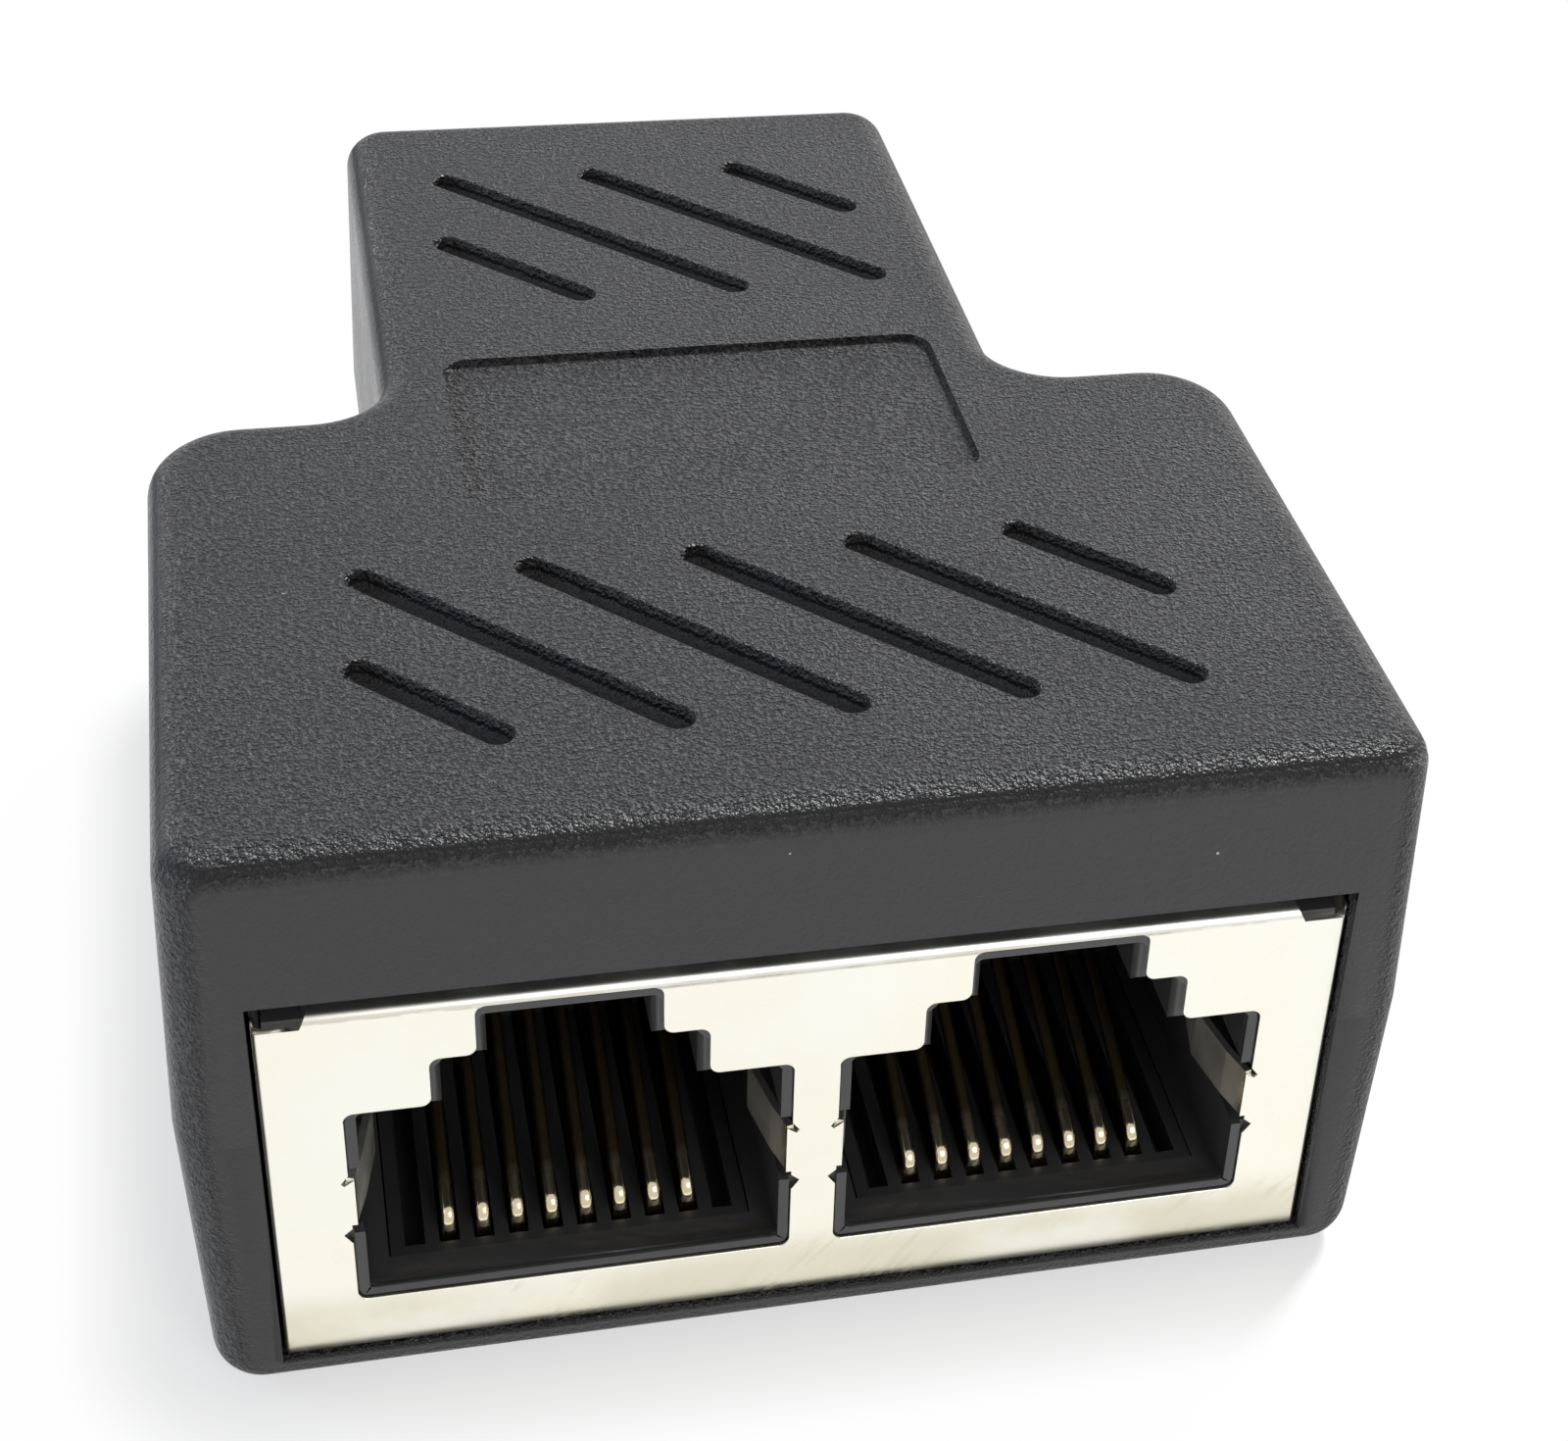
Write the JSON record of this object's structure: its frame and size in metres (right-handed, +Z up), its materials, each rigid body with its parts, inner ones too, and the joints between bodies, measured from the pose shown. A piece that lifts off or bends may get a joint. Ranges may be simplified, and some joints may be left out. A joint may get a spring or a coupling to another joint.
{
  "type": "ethernet splitter adapter",
  "caption": "T-shaped plastic network splitter with screened modular sockets side by side at the wide end and one at the narrow end.",
  "frame": {"origin": "middle of the footprint, on the surface that the adapter stands on", "axes": "+Z up, +Y from the two-socket end to the single socket, +X to the right seen from the two-socket end"},
  "size_m": [0.0358, 0.0442, 0.0198],
  "materials": {
    "housing": "fine grained black",
    "plated_sheet": "bright nickel plate",
    "socket_plastic": "smooth black",
    "contact_gold": "thin gold plate",
    "board": "green lacquer"
  },
  "bodies": {
    "root": {"top_shell": "housing", "bottom_shell": "housing", "front_screen": "plated_sheet", "rear_screen": "plated_sheet", "front_socket_body": "socket_plastic", "rear_socket_body": "socket_plastic", "circuit_board": "board", "front_left_contact_insert": "socket_plastic", "front_left_contact_1": "contact_gold", "front_left_contact_2": "contact_gold", "front_left_contact_3": "contact_gold", "front_left_contact_4": "contact_gold", "front_left_contact_5": "contact_gold", "front_left_contact_6": "contact_gold", "front_left_contact_7": "contact_gold", "front_left_contact_8": "contact_gold", "front_right_contact_insert": "socket_plastic", "front_right_contact_1": "contact_gold", "front_right_contact_2": "contact_gold", "front_right_contact_3": "contact_gold", "front_right_contact_4": "contact_gold", "front_right_contact_5": "contact_gold", "front_right_contact_6": "contact_gold", "front_right_contact_7": "contact_gold", "front_right_contact_8": "contact_gold", "rear_contact_insert": "socket_plastic", "rear_contact_1": "contact_gold", "rear_contact_2": "contact_gold", "rear_contact_3": "contact_gold", "rear_contact_4": "contact_gold", "rear_contact_5": "contact_gold", "rear_contact_6": "contact_gold", "rear_contact_7": "contact_gold", "rear_contact_8": "contact_gold"}
  },
  "joints": []
}
